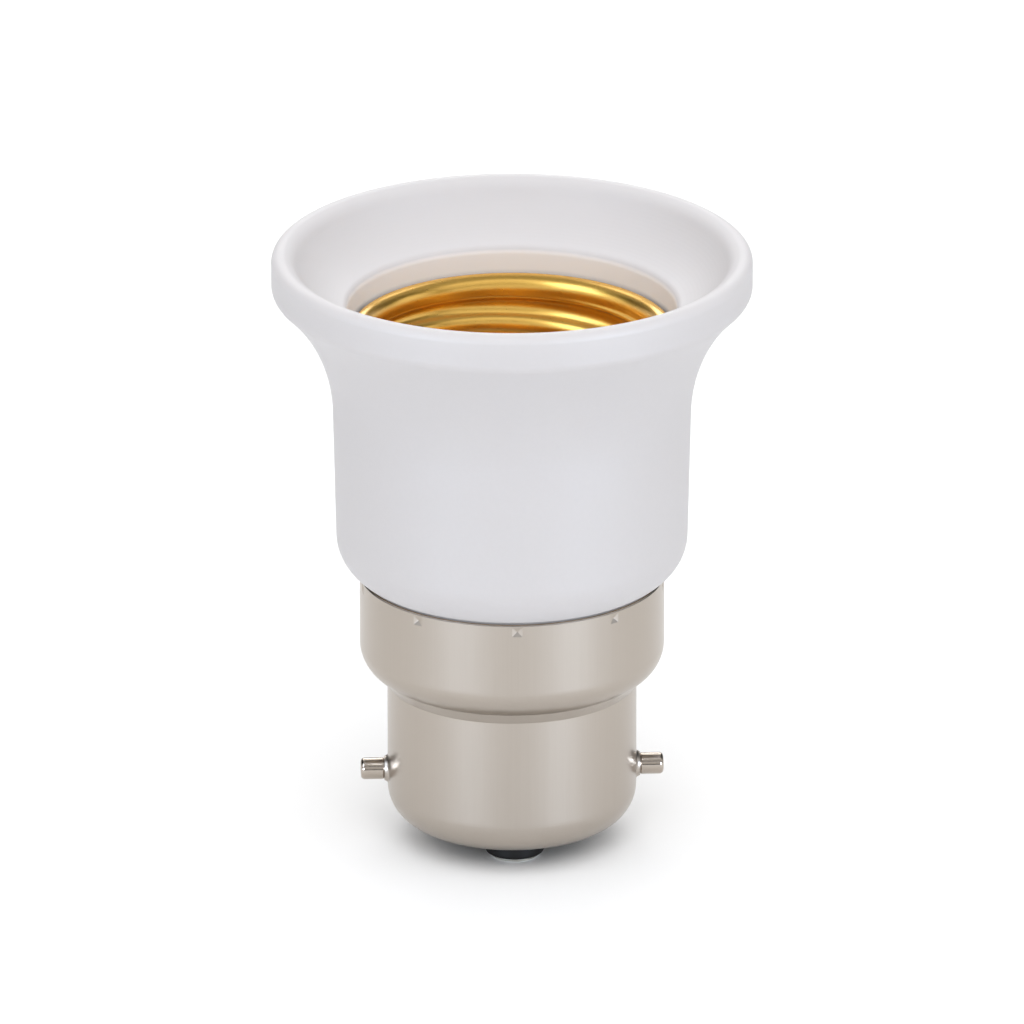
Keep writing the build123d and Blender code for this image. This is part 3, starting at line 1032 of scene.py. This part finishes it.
@dataclass
class BaseContacts(SubAssembly):
    """Black insulator in the foot of the cap, with its two eyelets and their solder."""

    bottom: float = from_low("base_insulator", Z)
    top: float = from_high("base_insulator", Z)
    radius: float = from_high("base_insulator", X)
    eyelet_top: float = from_high("contact_eyelet_back", Z)
    solder_low: float = from_low("contact_solder_back", Z)
    solder_high: float = from_high("contact_solder_back", Z)
    disc_bottom: float = 2.08
    disc_corner: float = 3.02
    disc_top_round: float = 0.2
    boss_radius: float = 2.6
    boss_round: float = 0.3
    boss_hole_round: float = 0.05
    contact_offset: float = 4.6
    pad_radius: float = 2.1
    pad_bore_round: float = 0.12
    pad_edge_round: float = 0.1
    pad_back_round: float = 0.08
    eyelet_radius: float = 1.25
    eyelet_bore: float = 0.85
    roll_radius: float = 1.8
    roll_under_round: float = 0.1
    roll_edge_round: float = 0.15
    roll_bore_round: float = 0.12
    solder_dome: float = 0.14
    solder_rows: int = 13
    columns: int = 96

    def at_contact(self, outline: np.ndarray, side: Side) -> Skin:
        """Turns an outline about one contact's axis."""
        return lathe(outline, self.columns).moved(0, side.value * self.contact_offset)

    def insulator(self) -> list[Skin]:
        """Disc with a rounded foot, and a boss round each eyelet that runs up into the disc.

        Returns:
            The disc and both bosses.
        """
        disc = rounded((0, self.disc_bottom, 0), (self.radius, self.disc_bottom, self.disc_corner),
                       (self.radius, self.top, self.disc_top_round), (0, self.top, 0))
        hole = self.eyelet_radius
        inside = (self.disc_bottom + self.top) / 2
        boss = rounded((hole, inside, 0), (hole, self.bottom, self.boss_hole_round),
                       (self.boss_radius, self.bottom, self.boss_round), (self.boss_radius, inside, 0),
                       (hole, inside, 0))
        return [lathe(disc, 2 * self.columns), *(self.at_contact(boss, side) for side in Side)]

    def eyelet(self, side: Side) -> Skin:
        """Flat pad, tube and rolled-over top, as one ring round the bore.

        Args:
            side: which contact.

        Returns:
            The surface.
        """
        start = (self.eyelet_bore, self.solder_high, 0)
        outline = rounded(
            start, (self.eyelet_bore, 0, self.pad_bore_round), (self.pad_radius, 0, self.pad_edge_round),
            (self.pad_radius, self.bottom, self.pad_back_round), (self.eyelet_radius, self.bottom, 0),
            (self.eyelet_radius, self.top, 0), (self.roll_radius, self.top, self.roll_under_round),
            (self.roll_radius, self.eyelet_top, self.roll_edge_round),
            (self.eyelet_bore, self.eyelet_top, self.roll_bore_round), start)
        return self.at_contact(outline, side)

    def solder(self, side: Side) -> Skin:
        """Solder that fills the bore, with a face that falls away to the bore's wall as the radius squared.

        Args:
            side: which contact.

        Returns:
            The surface.
        """
        share = np.linspace(0, 1, self.solder_rows)
        face = np.stack((self.eyelet_bore * share, self.solder_low + self.solder_dome * share ** 2), 1)
        rest = np.array(((self.eyelet_bore, self.solder_high), (0, self.solder_high)))
        return self.at_contact(np.concatenate((face, rest)), side)

    def build(self) -> None:
        """Makes the insulator and what goes through it."""
        self.make("insulator_moulding", "base_insulator", self.insulator())
        for side, where in ((Side.LOW, "front"), (Side.HIGH, "back")):
            self.make(f"eyelet_{where}", f"contact_eyelet_{where}", [self.eyelet(side)])
            self.make(f"solder_{where}", f"contact_solder_{where}", [self.solder(side)])

    def dress(self) -> None:
        """Black moulding, tinned eyelets and dull solder."""
        self.wear(BLACK_PHENOLIC, "insulator_moulding")
        self.wear(TINNED_BRASS, "eyelet_front", "eyelet_back")
        self.wear(SOFT_SOLDER, "solder_front", "solder_back")


@dataclass
class SocketContacts(SubAssembly):
    """Sprung centre contact in the socket, and the rivets that hold it and the screw shell.

    A rivet's dome is the round of its head's edge as a share of the head's height.
    """

    foot_x: float = from_low("centre_contact", X)
    foot_bottom: float = from_low("centre_contact", Z)
    half_width: float = from_high("centre_contact", Y)
    thickness: float = 0.4
    fold_radius: float = 1.2
    ramp_angle: float = 34.0
    ramp_length: float = 2.2
    crown_radius: float = 1.6
    tip_angle: float = 24.0
    tip_length: float = 0.9
    corner: float = 0.8
    corner_rows: int = 12
    foot_rows: int = 8
    edge_round: float = 0.08
    edge_columns: int = 9
    rivet_radius: float = 0.9
    rivet_dome: float = 0.9
    rivet_seat_round: float = 0.05
    rivet_columns: int = 64
    head_height: float = 0.7
    rivet_nodes: tuple[str, ...] = ("contact_rivet", "shell_rivet_left", "shell_rivet_right")

    def fold_x(self) -> float:
        """Where the fold starts, from the crown over the axis back down the ramp."""
        rise = math.radians(self.ramp_angle)
        return -(self.fold_radius + self.crown_radius) * math.sin(rise) - self.ramp_length * math.cos(rise)

    def path(self) -> np.ndarray:
        """Draws the middle line of the strip: foot, fold, ramp, crown and tip.

        Returns:
            X and Z, one row each.
        """
        middle = self.foot_bottom + self.thickness / 2
        pen = Pen(self.foot_x, middle, 0).to(self.foot_x + self.corner, middle, self.corner_rows)
        pen.to(self.fold_x(), middle, self.foot_rows)
        pen.bend(self.fold_radius, self.ramp_angle).run(self.ramp_length)
        pen.bend(self.crown_radius, -(self.ramp_angle + self.tip_angle)).run(self.tip_length)
        return pen.drawn()

    def strip(self) -> Skin:
        """Carries a thin rounded section along the middle line, narrower at the foot's round corners.

        The half-width falls short by c - sqrt(c^2 - (c - s)^2) at a distance s from the foot's end. The rows
        at both ends shrink to the middle line, which closes them.

        Returns:
            The surface.
        """
        path = supported(self.path())
        way = np.gradient(path, axis=0)
        way /= np.linalg.norm(way, axis=1, keepdims=True)
        up = np.stack((-way[:, 1], way[:, 0]), 1)
        along = np.concatenate(([0], np.cumsum(np.linalg.norm(np.diff(path, axis=0), axis=1))))
        short = np.clip(self.corner - along, 0, None)
        width = self.half_width - self.corner + np.sqrt(self.corner ** 2 - short ** 2)
        count = self.edge_columns
        edge = np.radians(np.concatenate((np.linspace(-90, 90, count), np.linspace(90, 270, count))))
        beside = np.repeat((1, -1), count)
        y = beside * (width[:, None] - self.edge_round) + self.edge_round * np.cos(edge)
        z = self.thickness / 2 * np.sin(edge)
        points = np.stack((path[:, :1] + up[:, :1] * z, y, path[:, 1:] + up[:, 1:] * z), -1)
        ends = points[[0, -1]].mean(1, keepdims=True) + 0 * points[[0, -1]]
        return Skin(np.concatenate((ends[:1], points, ends[1:])))

    def rivet(self, node: str) -> Skin:
        """Domed head above and spread tail below a plain shank.

        Args:
            node: the CAD node that gives its place and size.

        Returns:
            The surface.
        """
        lowest, highest = low(node), high(node)
        head = (highest[X] - lowest[X]) / 2
        middle = (highest[X] + lowest[X]) / 2
        dome = self.head_height * self.rivet_dome
        bottom, top = lowest[Z], highest[Z]
        tail_top, head_bottom = bottom + self.head_height, top - self.head_height
        outline = rounded(
            (0, bottom, 0), (head, bottom, dome), (head, tail_top, self.rivet_seat_round),
            (self.rivet_radius, tail_top, 0), (self.rivet_radius, head_bottom, 0),
            (head, head_bottom, self.rivet_seat_round), (head, top, dome), (0, top, 0))
        return lathe(outline, self.rivet_columns).moved(middle, 0)

    def build(self) -> None:
        """Folds the strip and makes the rivets."""
        leaf = self.make("contact_leaf_strip", "centre_contact", [self.strip()], Body.LEAF)
        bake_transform(leaf)
        for node in self.rivet_nodes:
            self.make(f"{node}_turned", node, [self.rivet(node)])

    def dress(self) -> None:
        """Tinned bronze strip, tinned rivets."""
        self.wear(CONTACT_STRIP, "contact_leaf_strip")
        self.wear(TINNED_BRASS, *(f"{node}_turned" for node in self.rivet_nodes))


@dataclass
class InnerLeads:
    """What stays as the frame has it, closed in between the cap and the socket's floor."""

    finishes: dict[str, Finish] = field(default_factory=lambda: {
        "centre_tag": TINNED_BRASS, "shell_tag": TINNED_BRASS,
        "centre_tag_solder": SOFT_SOLDER, "shell_tag_solder": SOFT_SOLDER,
        "centre_lead_wire": COPPER_WIRE, "shell_lead_wire": COPPER_WIRE,
        "centre_lead_sleeve": WIRE_SLEEVE, "shell_lead_sleeve": WIRE_SLEEVE})

    def dress(self) -> None:
        """Gives each carried-over node its finish."""
        for node, finish in self.finishes.items():
            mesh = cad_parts[node].data
            mesh.materials.clear()
            mesh.materials.append(finish.material())


def direction(azimuth: float, elevation: float) -> Vector:
    """Way from the part to a place round it, in degrees to the right of the front and above the floor."""
    side, rise = math.radians(azimuth), math.radians(elevation)
    return Vector((math.sin(side) * math.cos(rise), -math.cos(side) * math.cos(rise), math.sin(rise)))


class Reaches(Enum):
    """What a light is for: matt surfaces, or glints in the glossy ones."""

    MATT = (True, False)
    METAL = (False, True)


@dataclass(frozen=True)
class Softbox:
    """Soft light that faces the part: its bearing in degrees, its distance and sides in metres, its watts."""

    name: str
    azimuth: float
    elevation: float
    distance: float
    width: float
    height: float
    power: float
    reaches: Reaches
    colour: str = "#FFFFFF"

    def hang(self, aim: Vector) -> None:
        """Hangs the light round the point that it faces.

        Args:
            aim: that point, in metres.
        """
        lamp = bpy.data.lights.new(self.name, "AREA")
        lamp.shape = "RECTANGLE"
        lamp.size, lamp.size_y = self.width, self.height
        lamp.energy = self.power
        lamp.color = linear(self.colour)[:3]
        light = placed(self.name, lamp)
        back = direction(self.azimuth, self.elevation)
        light.location = aim + back * self.distance
        light.rotation_mode = "QUATERNION"
        light.rotation_quaternion = (-back).to_track_quat("-Z", "Y")
        light.visible_diffuse, light.visible_glossy = self.reaches.value


# Bluish white of the boxes at both sides
COOL = "#D6E8FF"
# Name, azimuth, elevation, distance, width, height, watts, what it is for and its tint
SOFTBOXES = (
    Softbox("overhead_box", 0, 85, 0.9, 0.8, 0.8, 2.05, Reaches.MATT),
    Softbox("front_box", 0, 42, 0.8, 0.45, 0.45, 1.5, Reaches.MATT),
    Softbox("right_box", 60, 40, 0.8, 0.5, 0.5, 0.2, Reaches.MATT),
    Softbox("back_box", 180, 45, 0.9, 0.6, 0.6, 1.0, Reaches.MATT),
    Softbox("front_glint", 0, 58.5, 0.8, 1.7, 0.5, 1.87, Reaches.METAL),
    Softbox("low_glint", 0, 21.5, 0.8, 1.7, 0.43, 1.75, Reaches.METAL),
    Softbox("left_glint", -60, 40, 0.8, 0.5, 0.5, 2.15, Reaches.METAL, COOL),
    Softbox("right_glint", 60, 40, 0.8, 0.5, 0.5, 2.35, Reaches.METAL, COOL),
    Softbox("top_glint", 180, 80, 0.9, 1.7, 1.4, 2.4, Reaches.METAL),
    Softbox("back_glint", 180, 50, 0.9, 0.8, 0.3, 1.3, Reaches.METAL),
    Softbox("back_low_glint", 180, 27, 0.9, 0.8, 0.2, 2.8, Reaches.METAL),
    Softbox("left_low_glint", -82, 20, 0.8, 0.5, 0.4, 0.6, Reaches.METAL),
    Softbox("right_low_glint", 82, 20, 0.8, 0.5, 0.4, 0.6, Reaches.METAL),
    Softbox("left_strip", -41, 8, 0.6, 0.12, 0.12, 3.9, Reaches.METAL, COOL),
    Softbox("right_strip", 41, 8, 0.6, 0.12, 0.12, 4.8, Reaches.METAL, COOL),
)


@dataclass
class Studio:
    """White floor, soft light and a camera where the photograph was taken."""

    floor_side: float = 4.0
    floor_colour: str = "#F3F3F3"
    floor_glow: float = 0.01
    floor_roughness: float = 0.9
    world_colour: str = "#FFFFFF"
    world_strength: float = 0.873
    target_height: float = 30.5
    azimuth: float = -3.0
    elevation: float = 20.9
    distance: float = 1800.0
    pixels_per_mm: float = 11.36
    image_side: int = 1024
    sensor: float = 36.0

    def floor(self) -> None:
        """Flat pale floor under the part."""
        half = self.floor_side / 2
        mesh = bpy.data.meshes.new("studio_floor")
        corners = [(-half, -half, 0), (half, -half, 0), (half, half, 0), (-half, half, 0)]
        mesh.from_pydata(corners, [], [(0, 1, 2, 3)])
        piece = placed("studio_floor", mesh)
        paper = bpy.data.materials.new("studio_paper")
        paper.use_nodes = True
        shader = paper.node_tree.nodes["Principled BSDF"]
        shader.inputs["Base Color"].default_value = linear(self.floor_colour)
        shader.inputs["Roughness"].default_value = self.floor_roughness
        shader.inputs["Emission Color"].default_value = linear(self.floor_colour)
        shader.inputs["Emission Strength"].default_value = self.floor_glow
        mesh.materials.append(paper)

    def light(self) -> None:
        """Even surround that glossy surfaces don't mirror, and the soft boxes."""
        world = bpy.data.worlds.new("studio_surround")
        world.use_nodes = True
        shade = world.node_tree.nodes["Background"]
        shade.inputs["Color"].default_value = linear(self.world_colour)
        shade.inputs["Strength"].default_value = self.world_strength
        scene = bpy.context.scene
        scene.world = world
        world.cycles_visibility.glossy = False
        scene.view_settings.view_transform = "Standard"
        for box in SOFTBOXES:
            box.hang(Vector((0, 0, self.target_height * MM)))

    def camera(self) -> None:
        """Long lens at the photograph's height and turn, aimed at the part's axis."""
        lens = bpy.data.cameras.new("photograph")
        lens.sensor_width = self.sensor
        lens.lens = self.sensor * self.distance * self.pixels_per_mm / self.image_side
        back = direction(self.azimuth, self.elevation)
        camera = placed("photograph", lens)
        camera.location = (Vector((0, 0, self.target_height)) + back * self.distance) * MM
        camera.rotation_mode = "QUATERNION"
        camera.rotation_quaternion = (-back).to_track_quat("-Z", "Y")
        bpy.context.scene.camera = camera


def main() -> None:
    """Builds and dresses each sub-assembly in order, then sets the stage."""
    logging.basicConfig(level=logging.INFO, format="%(name)s: %(message)s")
    for group in (Housing(), ScrewShell(), BayonetCap(), BaseContacts(), SocketContacts()):
        group.build()
        group.dress()
        for name, piece in group.made.items():
            log.info("%s: %s, %d faces", type(group).__name__, name, len(piece.data.polygons))
    InnerLeads().dress()
    studio = Studio()
    studio.floor()
    studio.light()
    studio.camera()


if __name__ == "__main__":
    main()
